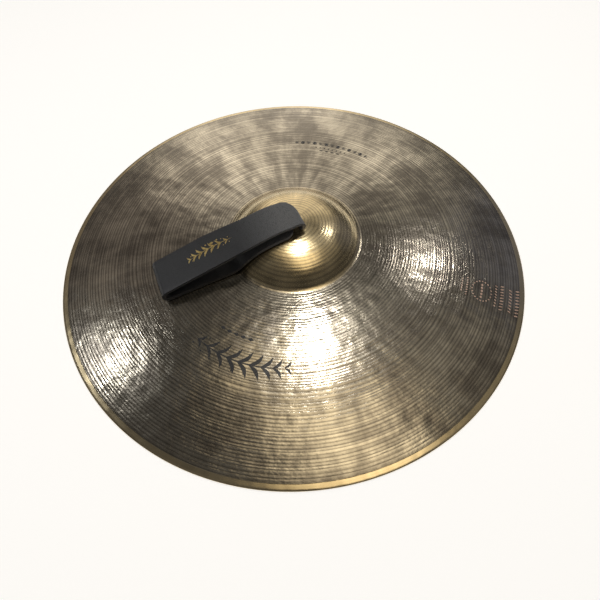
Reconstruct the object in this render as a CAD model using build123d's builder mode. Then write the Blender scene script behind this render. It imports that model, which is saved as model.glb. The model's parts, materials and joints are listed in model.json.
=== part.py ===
from build123d import *

import os
from math import asin, degrees, hypot, radians, sqrt, tan

# Orchestral hand cymbal: a lathed bronze plate with one knotted leather hand strap.
#
# Frame: millimetres, +Z up. The origin is on the axis of the plate, in the plane that the rim rests on.
# The strap lies along -X. In the real object it is one piece of leather: a wide handle band that folds back
# on itself, two necks that narrow towards the hole, and four thongs that are tied in a crown knot inside the
# bell. Here it is divided where it bends: the handle turns about the fold, and what is in the hole turns
# about Z.

# ---------------------------------------------------------------- plate
plate_diameter = 457.2
hole_diameter = 13.0
bell_diameter = 126.0
bell_height = 23.0            # root of the bell to its crown, on the struck side
bow_height = 24.0             # rim to root of the bell, on the struck side
crown_radius = 125.0          # sphere of the bell's flat top
crown_diameter = 68.0         # where the crown turns into the bell's shoulder
root_radius = 9.0             # hollow curve between bell and bow
rim_thickness = 0.95
root_thickness = 1.35         # of the bow beside the bell
bell_thickness = 1.8
rim_land = 2.5                # width of the flat ring that the plate stands on
rim_round = 0.35
hole_round = 0.4

# ---------------------------------------------------------------- handle
band_width = 38.0
band_thickness = 3.0
handle_reach = 128.0          # hole axis to the centre of the end fold
end_fold_radius = 6.7         # of the outer face in the end fold
upper_slope = 15.5            # degrees, of the upper layer where it leaves the end fold
crest_radius = 90.0           # where the upper layer levels out near the hole
heel_radius = 26.0            # lower layer bridging the corner at the bell's root
strap_clearance = 0.4         # between the leather and the plate
neck_width = 20.0
neck_height = 15.0            # both layers and the space between them, at the hole
neck_reach = 6.4              # hole axis to where the two layers part
hub_radius = 3.0              # of the leather that turns in the neck fold
hub_gap = 0.4                 # between the gathered thongs and the leather that turns over them

# ---------------------------------------------------------------- thongs and knot
thong_width = 7.4
thong_thickness = 2.4
thong_clearance = 0.28        # between the hole and the corners of the gathered thongs
thong_gap = 0.2               # half the space between two gathered thongs
weave_gap = 2.3               # knot's middle to the side of a strip
ramp_half = 1.5               # a strip changes level within this distance of the middle
layer_gap = 0.4               # between two layers of the knot
leg_reach = 13.0              # hole axis to the centre of a leg's fold
weave_reach = 11.0            # hole axis to where a tail leaves the knot
knot_clearance = 0.9          # between the knot and the inside of the bell
tail_bend_radius = 24.0
tail_bend_turn = 38.0         # degrees
tail_length = 30.0            # straight stretch of a tail

# ---------------------------------------------------------------- sizes that follow
plate_radius = plate_diameter / 2
hole_radius = hole_diameter / 2
bell_radius = bell_diameter / 2
shoulder_start = crown_diameter / 2
root_top = rim_thickness + bow_height
crown_top = root_top + bell_height
crown_centre = crown_top - crown_radius
fold_axis_height = crown_top + strap_clearance + neck_height / 2
thong_side = (hole_radius - thong_clearance) / sqrt(2) - thong_gap
band_start = thong_gap + thong_side + hub_gap
upper_top = fold_axis_height + neck_height / 2
inner_half = neck_height / 2 - band_thickness
thong_top = fold_axis_height - inner_half - hub_gap
level_drop = thong_thickness + layer_gap
knot_reach = hypot(leg_reach + level_drop, weave_gap + thong_width)


def on_arc(centre_height, size, radius):
    """Point at a distance from the axis on an arc whose centre is on the axis."""
    return (radius, centre_height + (size**2 - radius**2) ** 0.5)


def axis_arc(inner, outer):
    """Centre height and radius of the arc, centred on the axis, through two points."""
    rise = outer[1] - inner[1]
    centre_height = (outer[0] ** 2 + outer[1] ** 2 - inner[0] ** 2 - inner[1] ** 2) / (2 * rise)
    return centre_height, hypot(inner[0], inner[1] - centre_height)


def on_crown(radius, offset=0.0):
    """Point of the crown's sphere, moved outward by an offset."""
    return on_arc(crown_centre, crown_radius + offset, radius)


knot_top = on_crown(knot_reach, -bell_thickness)[1] - knot_clearance
root_point = (bell_radius, root_top)
rim_point = (plate_radius, rim_thickness)
root_under = (bell_radius, root_top - root_thickness)
rim_under = (plate_radius - rim_land, 0.0)
bow_centre, bow_radius = axis_arc(root_point, rim_point)
under_centre, under_radius = axis_arc(root_under, rim_under)
bow_middle = (bell_radius + plate_radius) / 2
crown_middle = (hole_radius + shoulder_start) / 2

# ---------------------------------------------------------------- cymbal plate
# The shoulder is one arc, tangent to the crown, that ends on the root circle of the bell.
with BuildPart() as cymbal_plate:
    with BuildSketch(Plane.XZ) as plate_section:
        with BuildLine():
            crown = ThreePointArc(on_crown(hole_radius), on_crown(crown_middle), on_crown(shoulder_start))
            shoulder = TangentArc(crown @ 1, root_point, tangent=crown % 1)
            bow = ThreePointArc(shoulder @ 1, on_arc(bow_centre, bow_radius, bow_middle), rim_point)
            edge = Line(bow @ 1, (plate_radius, 0.0))
            land = Line(edge @ 1, rim_under)
            under_bow = ThreePointArc(land @ 1, on_arc(under_centre, under_radius, bow_middle),
                                      on_arc(under_centre, under_radius, bell_radius - bell_thickness))
            under_shoulder = TangentArc(on_crown(shoulder_start, -bell_thickness), under_bow @ 1,
                                        tangent=crown % 1)
            under_crown = ThreePointArc(under_shoulder @ 0, on_crown(crown_middle, -bell_thickness),
                                        on_crown(hole_radius, -bell_thickness))
            Line(under_crown @ 1, crown @ 0)
        make_face()
        root_corners = plate_section.vertices().filter_by(
            lambda v: abs(v.X - bell_radius) < 2 * bell_thickness)
        fillet(root_corners, root_radius)
    revolve(axis=Axis.Z)
    circles = cymbal_plate.edges().filter_by(GeomType.CIRCLE)
    fillet(circles.filter_by(lambda e: e.radius < hole_radius + bell_thickness), hole_round)
    circles = cymbal_plate.edges().filter_by(GeomType.CIRCLE)
    fillet(circles.filter_by(lambda e: e.radius > plate_radius - rim_round and e.center().Z > rim_round),
           rim_round)

# ---------------------------------------------------------------- handle band
# The outline starts as the outer face of the leather: out along the plate, round the end fold and back over
# the top. The inner face is that line, moved in by the thickness. The local x of the plane runs along -X.
strap_plane = Plane(origin=(0, 0, 0), x_dir=(-1, 0, 0), z_dir=(0, 1, 0))
crown_face = crown_radius + strap_clearance
bow_face = bow_radius + strap_clearance
bow_slope = degrees(asin(handle_reach / bow_face))
with BuildPart() as handle_band:
    with BuildSketch(strap_plane):
        with BuildLine() as band_line:
            over_crown = ThreePointArc(on_arc(crown_centre, crown_face, band_start),
                                       on_arc(crown_centre, crown_face, crown_middle),
                                       on_arc(crown_centre, crown_face, shoulder_start))
            over_shoulder = TangentArc(over_crown @ 1, on_arc(bow_centre, bow_face, bell_radius),
                                       tangent=over_crown % 1)
            over_bow = ThreePointArc(over_shoulder @ 1,
                                     on_arc(bow_centre, bow_face, (bell_radius + handle_reach) / 2),
                                     on_arc(bow_centre, bow_face, handle_reach))
            root_corner = band_line.vertices().sort_by_distance(over_shoulder @ 1)[0]
            fillet(root_corner, heel_radius)
            end_fold = JernArc(over_bow @ 1, over_bow % 1, end_fold_radius, 180 - upper_slope + bow_slope)
            climb = upper_top - (end_fold @ 1).Y
            crest = (end_fold @ 1).X - climb / tan(radians(upper_slope))
            Polyline(end_fold @ 1, (crest, upper_top), (band_start, upper_top))
            widest_crest = (crest - neck_reach) / tan(radians(upper_slope / 2))
            crest_corner = band_line.vertices().sort_by_distance(Vector(crest, upper_top))[0]
            fillet(crest_corner, min(crest_radius, widest_crest))
            offset(amount=band_thickness, side=Side.RIGHT)
        make_face()
    extrude(amount=band_width / 2, both=True)

# ---------------------------------------------------------------- neck fold
# The two necks, folded against each other over the hole, stand in for the leather that bends there.
with BuildPart() as neck_fold:
    with BuildSketch(strap_plane.shift_origin((0, 0, fold_axis_height))):
        with BuildLine():
            Polyline((0, hub_radius), (band_start, inner_half), (neck_reach, inner_half),
                     (neck_reach, -inner_half), (band_start, -inner_half), (0, -hub_radius), close=True)
        make_face()
        Circle(hub_radius)
    extrude(amount=neck_width / 2, both=True)

# ---------------------------------------------------------------- thongs
# Each thong comes down through its quarter of the hole, runs out as the knot's leg, folds back under itself,
# passes over one neighbour and under the other, and leaves the knot as a loose tail.
leg_level = knot_top - thong_thickness
strip_middle = weave_gap + thong_width / 2
post_middle = thong_gap + thong_side / 2
thongs = {}
for index, name in enumerate(["thong_front", "thong_right", "thong_back", "thong_left"]):
    turned = Plane.XY.rotated((0, 0, 90 * index))
    with BuildPart() as thong:
        with BuildSketch(turned.offset(leg_level)):
            with Locations((post_middle, post_middle)):
                Rectangle(thong_side, thong_side)
        extrude(amount=thong_top - leg_level)
        strip_plane = Plane(origin=turned.from_local_coords((0, strip_middle, 0)), x_dir=turned.x_dir,
                            z_dir=-turned.y_dir)
        with BuildSketch(strip_plane):
            with BuildLine():
                leg = Line((thong_gap, knot_top), (leg_reach, knot_top))
                back = JernArc(leg @ 1, leg % 1, level_drop / 2 + thong_thickness / 2, -180)
                over = Line(back @ 1, (ramp_half, (back @ 1).Y))
                ramp = Line(over @ 1, (-ramp_half, (back @ 1).Y - level_drop))
                under = Line(ramp @ 1, (-weave_reach, (ramp @ 1).Y))
                droop = JernArc(under @ 1, under % 1, tail_bend_radius, tail_bend_turn)
                tail = Line(droop @ 1, droop @ 1 + (droop % 1) * tail_length)
                offset(amount=thong_thickness, side=Side.RIGHT, kind=Kind.INTERSECTION)
            make_face()
        extrude(amount=thong_width / 2, both=True)
    thongs[name] = thong

# ---------------------------------------------------------------- export
os.makedirs("parts", exist_ok=True)
cymbal_plate.part.label = "cymbal_plate"
export_step(cymbal_plate.part, "parts/cymbal_plate.step")
handle_band.part.label = "handle_band"
export_step(handle_band.part, "parts/handle_band.step")
neck_fold.part.label = "neck_fold"
export_step(neck_fold.part, "parts/neck_fold.step")
for name, thong in thongs.items():
    thong.part.label = name
    export_step(thong.part, "parts/" + name + ".step")
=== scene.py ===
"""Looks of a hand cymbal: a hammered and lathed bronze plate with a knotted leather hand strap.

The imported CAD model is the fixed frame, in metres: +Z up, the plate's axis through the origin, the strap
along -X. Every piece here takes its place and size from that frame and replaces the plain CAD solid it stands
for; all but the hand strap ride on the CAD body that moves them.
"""

import json
import logging
from dataclasses import dataclass, field
from enum import Enum
from math import asin, cos, hypot, pi, radians, sin, sqrt
from typing import Callable, Sequence

import bpy
import numpy as np
from mathutils import Matrix, Vector


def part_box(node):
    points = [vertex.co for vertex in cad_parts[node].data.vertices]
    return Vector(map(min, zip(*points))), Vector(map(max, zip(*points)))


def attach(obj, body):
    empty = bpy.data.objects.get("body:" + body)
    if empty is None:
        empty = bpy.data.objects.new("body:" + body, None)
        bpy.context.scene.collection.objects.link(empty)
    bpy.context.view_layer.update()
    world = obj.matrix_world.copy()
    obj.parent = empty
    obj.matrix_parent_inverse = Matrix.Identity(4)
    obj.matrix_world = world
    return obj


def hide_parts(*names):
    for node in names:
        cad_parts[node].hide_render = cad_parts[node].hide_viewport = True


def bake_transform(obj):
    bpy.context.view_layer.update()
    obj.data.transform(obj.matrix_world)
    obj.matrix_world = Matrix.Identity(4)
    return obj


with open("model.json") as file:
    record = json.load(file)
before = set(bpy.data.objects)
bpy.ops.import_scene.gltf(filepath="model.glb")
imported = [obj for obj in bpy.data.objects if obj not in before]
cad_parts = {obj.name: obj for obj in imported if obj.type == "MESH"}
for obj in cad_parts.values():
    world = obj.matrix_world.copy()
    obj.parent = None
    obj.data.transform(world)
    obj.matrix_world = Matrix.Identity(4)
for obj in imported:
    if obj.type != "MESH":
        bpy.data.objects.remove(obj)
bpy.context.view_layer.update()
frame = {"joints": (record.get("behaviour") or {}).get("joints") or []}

logging.basicConfig(level=logging.INFO, format="%(levelname)s %(message)s")
log = logging.getLogger("hand_cymbal")

MM = 0.001
Colour = tuple[float, float, float]
Point = tuple[float, float]


class Body(Enum):
    """The CAD bodies that pieces ride on."""

    CYMBAL = "cymbal"
    KNOT = "strap_knot"
    HANDLE = "handle"


class Slot(Enum):
    """The record's material slots."""

    BRONZE = "bronze"
    LEATHER = "strap_leather"


# ------------------------------------------------------------------ mesh helpers
def deselect_all() -> None:
    """Leave edit mode and select nothing."""
    if bpy.context.object and bpy.context.object.mode != "OBJECT":
        bpy.ops.object.mode_set(mode="OBJECT")
    bpy.ops.object.select_all(action="DESELECT")


def make_active(piece: bpy.types.Object) -> None:
    """Select one object alone and make it active."""
    deselect_all()
    piece.select_set(True)
    bpy.context.view_layer.objects.active = piece


def apply_modifier(piece: bpy.types.Object, kind: str, **settings: object) -> None:
    """Add a modifier, set it and apply it.

    Args:
        piece: The mesh object.
        kind: The modifier's type, such as "SOLIDIFY".
        settings: Names and values of the modifier's own settings.
    """
    make_active(piece)
    modifier = piece.modifiers.new(kind.title(), kind)
    for name, value in settings.items():
        setattr(modifier, name, value)
    bpy.ops.object.modifier_apply(modifier=modifier.name)


def read_points(piece: bpy.types.Object) -> np.ndarray:
    """Vertex coordinates of a mesh object, as rows of x, y, z."""
    points = np.empty(len(piece.data.vertices) * 3)
    piece.data.vertices.foreach_get("co", points)
    return points.reshape(-1, 3)


def write_points(piece: bpy.types.Object, points: np.ndarray) -> None:
    """Put vertex coordinates back into a mesh object."""
    piece.data.vertices.foreach_set("co", points.ravel())
    piece.data.update()


def close_mesh(piece: bpy.types.Object, distance: float) -> None:
    """Merge doubles, then turn every face outward.

    Args:
        piece: The mesh object.
        distance: Vertices nearer than this become one.
    """
    make_active(piece)
    bpy.ops.object.mode_set(mode="EDIT")
    bpy.ops.mesh.select_all(action="SELECT")
    bpy.ops.mesh.remove_doubles(threshold=distance)
    bpy.ops.mesh.normals_make_consistent(inside=False)
    bpy.ops.object.mode_set(mode="OBJECT")


def smooth(piece: bpy.types.Object, angle: float) -> None:
    """Shade smooth, and keep edges sharper than an angle in degrees."""
    make_active(piece)
    bpy.ops.object.shade_smooth_by_angle(angle=radians(angle))


def dress(piece: bpy.types.Object, material: bpy.types.Material) -> None:
    """Give a piece one material."""
    piece.data.materials.clear()
    piece.data.materials.append(material)


def smoothstep(low: float, high: float, value: np.ndarray) -> np.ndarray:
    """Ramp from 0 to 1 between two values, with flat ends."""
    share = np.clip((value - low) / (high - low), 0, 1)
    return share * share * (3 - 2 * share)


# ------------------------------------------------------------------ node helpers
class NodeDesk:
    """Places and links shader nodes in one tree."""

    row_length = 12
    step_across = 180
    step_down = 220

    def __init__(self, tree: bpy.types.NodeTree, count: int = 0) -> None:
        """Start in a tree that already holds a number of nodes."""
        self.tree = tree
        self.count = count

    def add(self, kind: str, **settings: object) -> bpy.types.Node:
        """Add a node and set its own properties.

        Args:
            kind: The node's type name, such as "ShaderNodeMath".
            settings: Names and values of the node's properties.

        Returns:
            The new node.
        """
        node = self.tree.nodes.new(kind)
        row, column = divmod(self.count, self.row_length)
        node.location = (self.step_across * column, -self.step_down * row)
        self.count += 1
        for name, value in settings.items():
            setattr(node, name, value)
        return node

    def feed(self, node: bpy.types.Node, name: str | int, value: object) -> None:
        """Link a socket to an input, or set the input to a plain value."""
        if isinstance(value, bpy.types.NodeSocket):
            self.tree.links.new(value, node.inputs[name])
        else:
            node.inputs[name].default_value = value

    def math(self, operation: str, first: object, second: object = 0.0,
             third: object = 0.0) -> bpy.types.NodeSocket:
        """One Math node.

        Args:
            operation: The operation, such as "MULTIPLY".
            first: First operand, a socket or a number.
            second: Second operand.
            third: Third operand.

        Returns:
            The result's socket.
        """
        node = self.add("ShaderNodeMath", operation=operation)
        for index, value in enumerate((first, second, third)):
            self.feed(node, index, value)
        return node.outputs[0]

    def ramp(self, low: float, high: float, value: object, start: float = 0.0,
             end: float = 1.0) -> bpy.types.NodeSocket:
        """Smooth ramp of a value from one range to another.

        Args:
            low: Value at which the ramp starts.
            high: Value at which it ends.
            value: Socket that is ramped.
            start: Result at and before low.
            end: Result at and after high.

        Returns:
            The result's socket.
        """
        node = self.add("ShaderNodeMapRange", interpolation_type="SMOOTHSTEP")
        for name, number in (("From Min", low), ("From Max", high), ("To Min", start), ("To Max", end)):
            self.feed(node, name, number)
        self.feed(node, "Value", value)
        return node.outputs["Result"]

    def noise(self, vector: object, scale: float, detail: float = 3.0, rough: float = 0.55,
              dimensions: str = "3D") -> bpy.types.NodeSocket:
        """Noise between 0 and 1.

        Args:
            vector: Where it is read: a vector, or a number for 1D noise.
            scale: Its scale.
            detail: Its octaves.
            rough: Weight of the finer octaves.
            dimensions: "1D" or "3D".

        Returns:
            The noise value's socket.
        """
        node = self.add("ShaderNodeTexNoise", noise_dimensions=dimensions)
        self.feed(node, "W" if dimensions == "1D" else "Vector", vector)
        self.feed(node, "Scale", scale)
        self.feed(node, "Detail", detail)
        self.feed(node, "Roughness", rough)
        return node.outputs[0]

    def bump(self, height: object, strength: float = 1.0) -> bpy.types.NodeSocket:
        """Normal of a surface with a height in metres."""
        node = self.add("ShaderNodeBump")
        self.feed(node, "Strength", strength)
        self.feed(node, "Distance", 1.0)
        self.feed(node, "Height", height)
        return node.outputs[0]

    def mix(self, share: object, first: object, second: object) -> bpy.types.NodeSocket:
        """Mix two colours.

        Args:
            share: 0 gives the first colour, 1 the second.
            first: First colour, a socket or red, green, blue, alpha.
            second: Second colour.

        Returns:
            The mixed colour's socket.
        """
        node = self.add("ShaderNodeMix", data_type="RGBA", clamp_factor=True)
        self.feed(node, 0, share)
        self.feed(node, 6, first)
        self.feed(node, 7, second)
        return node.outputs[2]

    def colours(self, value: object, stops: Sequence[tuple[float, Colour]]) -> bpy.types.NodeSocket:
        """Colour ramp.

        Args:
            value: Socket that is looked up.
            stops: Places between 0 and 1, each with its colour, at least two.

        Returns:
            The colour's socket.
        """
        node = self.add("ShaderNodeValToRGB")
        elements = node.color_ramp.elements
        for place, _ in stops[2:]:
            elements.new(place)
        for element, (place, colour) in zip(elements, stops):
            element.position = place
            element.color = (*colour, 1.0)
        self.feed(node, 0, value)
        return node.outputs[0]


class NodeGroup:
    """A shader node group with named inputs and outputs, built once."""

    made: dict[str, bpy.types.NodeTree] = {}

    def __init__(self, name: str, inputs: Sequence[tuple[str, str, float]],
                 outputs: Sequence[tuple[str, str]],
                 build: Callable[[NodeDesk, bpy.types.Node, bpy.types.Node], None]) -> None:
        """Describe a group.

        Args:
            name: Name of the group.
            inputs: Name, socket type and default of each input.
            outputs: Name and socket type of each output.
            build: Fills the group, given its desk, its input node and its output node.
        """
        self.name = name
        self.inputs = inputs
        self.outputs = outputs
        self.build = build

    def tree(self) -> bpy.types.NodeTree:
        """The group's tree, made at the first call."""
        if self.name not in self.made:
            tree = bpy.data.node_groups.new(self.name, "ShaderNodeTree")
            for name, kind, default in self.inputs:
                socket = tree.interface.new_socket(name=name, in_out="INPUT", socket_type=kind)
                if kind == "NodeSocketFloat":
                    socket.default_value = default
            for name, kind in self.outputs:
                tree.interface.new_socket(name=name, in_out="OUTPUT", socket_type=kind)
            desk = NodeDesk(tree)
            source = desk.add("NodeGroupInput")
            target = desk.add("NodeGroupOutput")
            self.build(desk, source, target)
            self.made[self.name] = tree
        return self.made[self.name]

    def place(self, desk: NodeDesk, **values: object) -> bpy.types.Node:
        """Put the group into a material.

        Args:
            desk: Desk of the material's tree.
            values: Values or sockets for the group's inputs, with spaces in names as underscores.

        Returns:
            The group node.
        """
        node = desk.add("ShaderNodeGroup", node_tree=self.tree())
        for name, value in values.items():
            desk.feed(node, name.replace("_", " "), value)
        return node


def polar_place(desk: NodeDesk, source: bpy.types.Node, target: bpy.types.Node) -> None:
    """Distance from the plate's axis, angle round it, and a point that runs out along the rays."""
    split = desk.add("ShaderNodeSeparateXYZ")
    desk.feed(split, 0, source.outputs["Vector"])
    across = desk.math("MULTIPLY", split.outputs[0], split.outputs[0])
    radius = desk.math("SQRT", desk.math("MULTIPLY_ADD", split.outputs[1], split.outputs[1], across))
    ray = desk.add("ShaderNodeCombineXYZ")
    desk.feed(ray, 0, desk.math("DIVIDE", split.outputs[0], radius))
    desk.feed(ray, 1, desk.math("DIVIDE", split.outputs[1], radius))
    desk.feed(ray, 2, desk.math("MULTIPLY", radius, source.outputs["Stretch"]))
    desk.feed(target, "Radius", radius)
    desk.feed(target, "Ray", ray.outputs[0])


def lathe_grooves(desk: NodeDesk, source: bpy.types.Node, target: bpy.types.Node) -> None:
    """Height of the tool's grooves: even ones, fine ones between them, and chatter along each."""
    radius = source.outputs["Radius"]
    wander = desk.noise(radius, scale=90.0, detail=1.0, rough=0.5, dimensions="1D")
    drift = desk.math("MULTIPLY", wander, source.outputs["Pitch"])
    turns = desk.math("DIVIDE", desk.math("MULTIPLY_ADD", drift, 1.2, radius), source.outputs["Pitch"])
    saw = desk.math("FRACT", turns)
    crest = desk.math("SUBTRACT", 1.0, desk.math("ABSOLUTE", desk.math("MULTIPLY_ADD", saw, 2.0, -1.0)))
    round_crest = desk.math("POWER", crest, 0.6)
    pressure = desk.noise(radius, scale=140.0, detail=1.0, rough=0.5, dimensions="1D")
    uneven = desk.ramp(0.3, 0.7, pressure, 0.6, 1.0)
    wide = desk.math("MULTIPLY", desk.math("MULTIPLY", round_crest, uneven), source.outputs["Depth"])
    scratches = desk.noise(radius, scale=1500.0, detail=2.0, rough=0.6, dimensions="1D")
    fine = desk.math("MULTIPLY", scratches, source.outputs["Fine Depth"])

    # the chatter changes from groove to groove, so a highlight breaks into rows of short dashes
    split = desk.add("ShaderNodeSeparateXYZ")
    desk.feed(split, 0, source.outputs["Vector"])
    cells = desk.add("ShaderNodeCombineXYZ")
    desk.feed(cells, 0, split.outputs[0])
    desk.feed(cells, 1, split.outputs[1])
    desk.feed(cells, 2, desk.math("DIVIDE", turns, source.outputs["Chatter Scale"]))
    chatter = desk.add("ShaderNodeTexNoise", noise_dimensions="3D")
    desk.feed(chatter, "Vector", cells.outputs[0])
    desk.feed(chatter, "Scale", source.outputs["Chatter Scale"])
    desk.feed(chatter, "Detail", 1.0)
    height = desk.math("MULTIPLY_ADD", chatter.outputs[0], source.outputs["Chatter Depth"],
                       desk.math("ADD", wide, fine))
    desk.feed(target, "Height", height)
    desk.feed(target, "Valley", desk.math("SUBTRACT", 1.0, round_crest))


def leather_grain(desk: NodeDesk, source: bpy.types.Node, target: bpy.types.Node) -> None:
    """Height and mask of small leather pebbles with pores between them."""
    place = source.outputs["Vector"]
    cells = desk.add("ShaderNodeTexVoronoi", feature="DISTANCE_TO_EDGE")
    desk.feed(cells, "Vector", place)
    desk.feed(cells, "Scale", source.outputs["Scale"])
    pebble = desk.ramp(0.0, 0.18, cells.outputs["Distance"])
    fine = desk.noise(place, scale=2600.0, detail=3.0, rough=0.6)
    height = desk.math("MULTIPLY_ADD", fine, 0.35, pebble)
    desk.feed(target, "Height", desk.math("MULTIPLY", height, source.outputs["Depth"]))
    desk.feed(target, "Pores", desk.math("SUBTRACT", 1.0, pebble))


POLAR = NodeGroup("PlatePolar",
                  [("Vector", "NodeSocketVector", 0.0), ("Stretch", "NodeSocketFloat", 2.3)],
                  [("Radius", "NodeSocketFloat"), ("Ray", "NodeSocketVector")], polar_place)
GROOVES = NodeGroup("LatheGrooves",
                    [("Vector", "NodeSocketVector", 0.0), ("Radius", "NodeSocketFloat", 0.1),
                     ("Pitch", "NodeSocketFloat", 0.0028), ("Depth", "NodeSocketFloat", 0.00006),
                     ("Fine Depth", "NodeSocketFloat", 0.00001), ("Chatter Scale", "NodeSocketFloat", 280.0),
                     ("Chatter Depth", "NodeSocketFloat", 0.00015)],
                    [("Height", "NodeSocketFloat"), ("Valley", "NodeSocketFloat")], lathe_grooves)
GRAIN = NodeGroup("LeatherGrain",
                  [("Vector", "NodeSocketVector", 0.0), ("Scale", "NodeSocketFloat", 900.0),
                   ("Depth", "NodeSocketFloat", 0.00004)],
                  [("Height", "NodeSocketFloat"), ("Pores", "NodeSocketFloat")], leather_grain)


def new_material(name: str) -> tuple[bpy.types.Material, NodeDesk, bpy.types.Node]:
    """A material with a Principled shader.

    Args:
        name: The material's name.

    Returns:
        The material, its node desk and its shader node.
    """
    material = bpy.data.materials.new(name)
    material.use_nodes = True
    desk = NodeDesk(material.node_tree, count=3)
    return material, desk, material.node_tree.nodes["Principled BSDF"]


# ------------------------------------------------------------------ finishes
@dataclass(frozen=True)
class LathedBronze:
    """Bronze with lathe grooves, tool chatter and a thin uneven brown film, with painted shade darkening the
    groove valleys.
    """

    pitch: float = 2.7 * MM
    depth: float = 0.07 * MM
    chatter: float = 0.10 * MM
    bell_pitch: float = 3.105 * MM
    bell_depth: float = 0.056 * MM
    bell_chatter: float = 0.025 * MM
    fine_depth: float = 0.012 * MM
    dent_depth: float = 0.12 * MM
    dent_scale: float = 110.0
    streak_scale: float = 7.0
    cloud_scale: float = 22.0
    ring_scale: float = 260.0
    wear_scale: float = 90.0
    bell_radius: float = 0.063
    rim_radius: float = 0.2286
    rim_band: float = 0.0058
    clean: Colour = (0.74, 0.67, 0.54)
    golden: Colour = (0.84, 0.68, 0.40)
    film: Colour = (0.21, 0.185, 0.155)
    # painted shade colour for the groove valleys
    painted_groove_shade: Colour = (0.085, 0.072, 0.055)
    roughness: float = 0.15
    anisotropy: float = 0.2
    name: str = "lathed_bronze"

    def build(self) -> bpy.types.Material:
        """The material, in metres on Object coordinates."""
        material, desk, shader = new_material(self.name)
        place = desk.add("ShaderNodeTexCoord").outputs["Object"]
        polar = POLAR.place(desk, Vector=place)
        radius, ray = polar.outputs["Radius"], polar.outputs["Ray"]
        on_bow = desk.ramp(self.bell_radius - 0.002, self.bell_radius + 0.004, radius)
        off_bow = desk.math("SUBTRACT", 1.0, on_bow)
        on_rim = desk.ramp(self.rim_radius - self.rim_band, self.rim_radius - self.rim_band + 0.0008, radius)
        lathed = desk.math("SUBTRACT", 1.0, on_rim)
        bow = GROOVES.place(desk, Vector=place, Radius=radius, Pitch=self.pitch, Depth=self.depth,
                            Fine_Depth=self.fine_depth, Chatter_Depth=self.chatter)
        bell = GROOVES.place(desk, Vector=place, Radius=radius, Pitch=self.bell_pitch, Depth=self.bell_depth,
                             Fine_Depth=self.fine_depth, Chatter_Depth=self.bell_chatter)

        # film in streaks that run out from the bell, in clouds, and in rings that the tool left clean
        streaks = desk.noise(ray, self.streak_scale, detail=5.0, rough=0.6)
        clouds = desk.noise(place, self.cloud_scale, detail=5.0, rough=0.62)
        rings = desk.noise(radius, self.ring_scale, detail=3.0, rough=0.6, dimensions="1D")
        tarnish = desk.math("MULTIPLY_ADD", streaks, 0.5, desk.math("MULTIPLY", clouds, 0.5))
        tarnish = desk.math("MULTIPLY_ADD", desk.math("SUBTRACT", rings, 0.5), 0.25, tarnish)
        film = desk.math("MULTIPLY", desk.ramp(0.36, 0.62, tarnish), desk.ramp(0.0, 1.0, on_bow, 0.3, 0.92))
        base = desk.mix(on_bow, (*self.golden, 1.0), (*self.clean, 1.0))
        base = desk.mix(film, base, (*self.film, 1.0))
        base = desk.mix(desk.math("MULTIPLY", on_rim, 0.75), base, (*self.golden, 1.0))
        # painted shade: the base colour is darkened in the groove valleys
        bow_groove_shade = desk.math("MULTIPLY", bow.outputs["Valley"], desk.math("MULTIPLY", on_bow, lathed))
        bell_groove_shade = desk.math("MULTIPLY", bell.outputs["Valley"], desk.math("MULTIPLY", off_bow, 0.75))
        painted_groove_shade = desk.math("POWER", desk.math("ADD", bow_groove_shade, bell_groove_shade), 1.4)
        base = desk.mix(desk.math("MULTIPLY", painted_groove_shade, 0.8), base, (*self.painted_groove_shade, 1.0))
        desk.feed(shader, "Base Color", base)

        wear = desk.noise(place, self.wear_scale, detail=4.0, rough=0.65)
        rough = desk.math("MULTIPLY_ADD", wear, 0.14, self.roughness - 0.07)
        rough = desk.math("MULTIPLY_ADD", film, 0.10, rough)
        desk.feed(shader, "Roughness", desk.math("MULTIPLY_ADD", off_bow, 0.07, rough))
        desk.feed(shader, "Metallic", 1.0)
        desk.feed(shader, "Anisotropic", self.anisotropy)

        # small dents from the hammer lie under the grooves
        dents = desk.add("ShaderNodeTexVoronoi", feature="SMOOTH_F1")
        desk.feed(dents, "Vector", place)
        desk.feed(dents, "Scale", self.dent_scale)
        desk.feed(dents, "Smoothness", 0.6)
        bow_height = desk.math("MULTIPLY", bow.outputs["Height"], on_bow)
        height = desk.math("MULTIPLY_ADD", bell.outputs["Height"], off_bow, bow_height)
        height = desk.math("MULTIPLY", height, lathed)
        height = desk.math("MULTIPLY_ADD", dents.outputs["Distance"], self.dent_depth, height)
        desk.feed(shader, "Normal", desk.bump(height))
        tangent = desk.add("ShaderNodeTangent", direction_type="RADIAL", axis="Z")
        desk.feed(shader, "Tangent", tangent.outputs[0])
        return material


@dataclass(frozen=True)
class MarkFinish:
    """Ink, foil or a bright stamp, rubbed thin in places."""

    name: str
    colour: Colour
    rubbed: Colour
    metallic: float
    roughness: float
    cover: float = 1.0
    wear_scale: float = 420.0
    grit_scale: float = 1400.0
    grit_depth: float = 0.03 * MM

    def build(self) -> bpy.types.Material:
        """The material, in metres on Object coordinates."""
        material, desk, shader = new_material(self.name)
        place = desk.add("ShaderNodeTexCoord").outputs["Object"]
        wear = desk.ramp(0.42, 0.68, desk.noise(place, self.wear_scale, detail=5.0, rough=0.7))
        desk.feed(shader, "Base Color", desk.mix(wear, (*self.colour, 1.0), (*self.rubbed, 1.0)))
        desk.feed(shader, "Metallic", self.metallic)
        grit = desk.noise(place, self.grit_scale, detail=3.0, rough=0.6)
        desk.feed(shader, "Roughness", desk.math("MULTIPLY_ADD", grit, 0.2, self.roughness - 0.1))
        desk.feed(shader, "Alpha", desk.ramp(0.0, 1.0, wear, self.cover, self.cover * 0.72))
        height = desk.math("MULTIPLY", grit, self.grit_depth)
        desk.feed(shader, "Normal", desk.bump(height, strength=0.6))
        return material


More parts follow.
